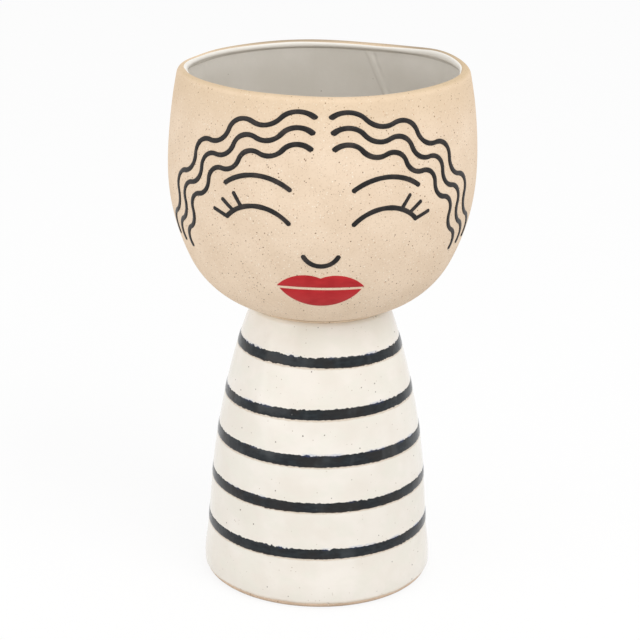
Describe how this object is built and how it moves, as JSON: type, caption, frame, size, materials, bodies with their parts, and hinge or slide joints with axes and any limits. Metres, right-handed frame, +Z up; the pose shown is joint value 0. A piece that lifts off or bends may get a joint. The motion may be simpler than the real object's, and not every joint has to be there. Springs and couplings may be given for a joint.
{
  "type": "head planter",
  "caption": "Stoneware head planter: a round bowl with a calm drawn face and wavy hair, on a hollow tapered stand with dark stripes over white glaze.",
  "frame": {"origin": "centre of the foot's resting plane", "axes": "+Z up the axis of the planter; -Y towards the drawn face; +X to the viewer's right"},
  "size_m": [0.14, 0.14, 0.2428],
  "materials": {
    "bare_clay": "matte sandy unglazed stoneware with fine specks",
    "joining_slip": "matte joining slip, fired with the clay",
    "liner_glaze": "satin white glaze inside the bowl",
    "white_glaze": "glossy warm white glaze with sparse specks",
    "dark_stripe": "blue black brushed band under a glossy glaze",
    "drawn_line": "trailed black line, slightly glossy",
    "lip_red": "brushed red, slightly glossy"
  },
  "bodies": {
    "root": {"head_bowl": "bare_clay", "bowl_liner_glaze": "liner_glaze", "hollow_stand": "bare_clay", "slip_joint": "joining_slip", "stand_white_glaze": "white_glaze", "dark_stripe_1": "dark_stripe", "dark_stripe_2": "dark_stripe", "dark_stripe_3": "dark_stripe", "dark_stripe_4": "dark_stripe", "dark_stripe_5": "dark_stripe", "left_eye": "drawn_line", "right_eye": "drawn_line", "left_brow": "drawn_line", "right_brow": "drawn_line", "nose_line": "drawn_line", "left_hair": "drawn_line", "right_hair": "drawn_line", "upper_lip": "lip_red", "lower_lip": "lip_red"}
  },
  "joints": []
}
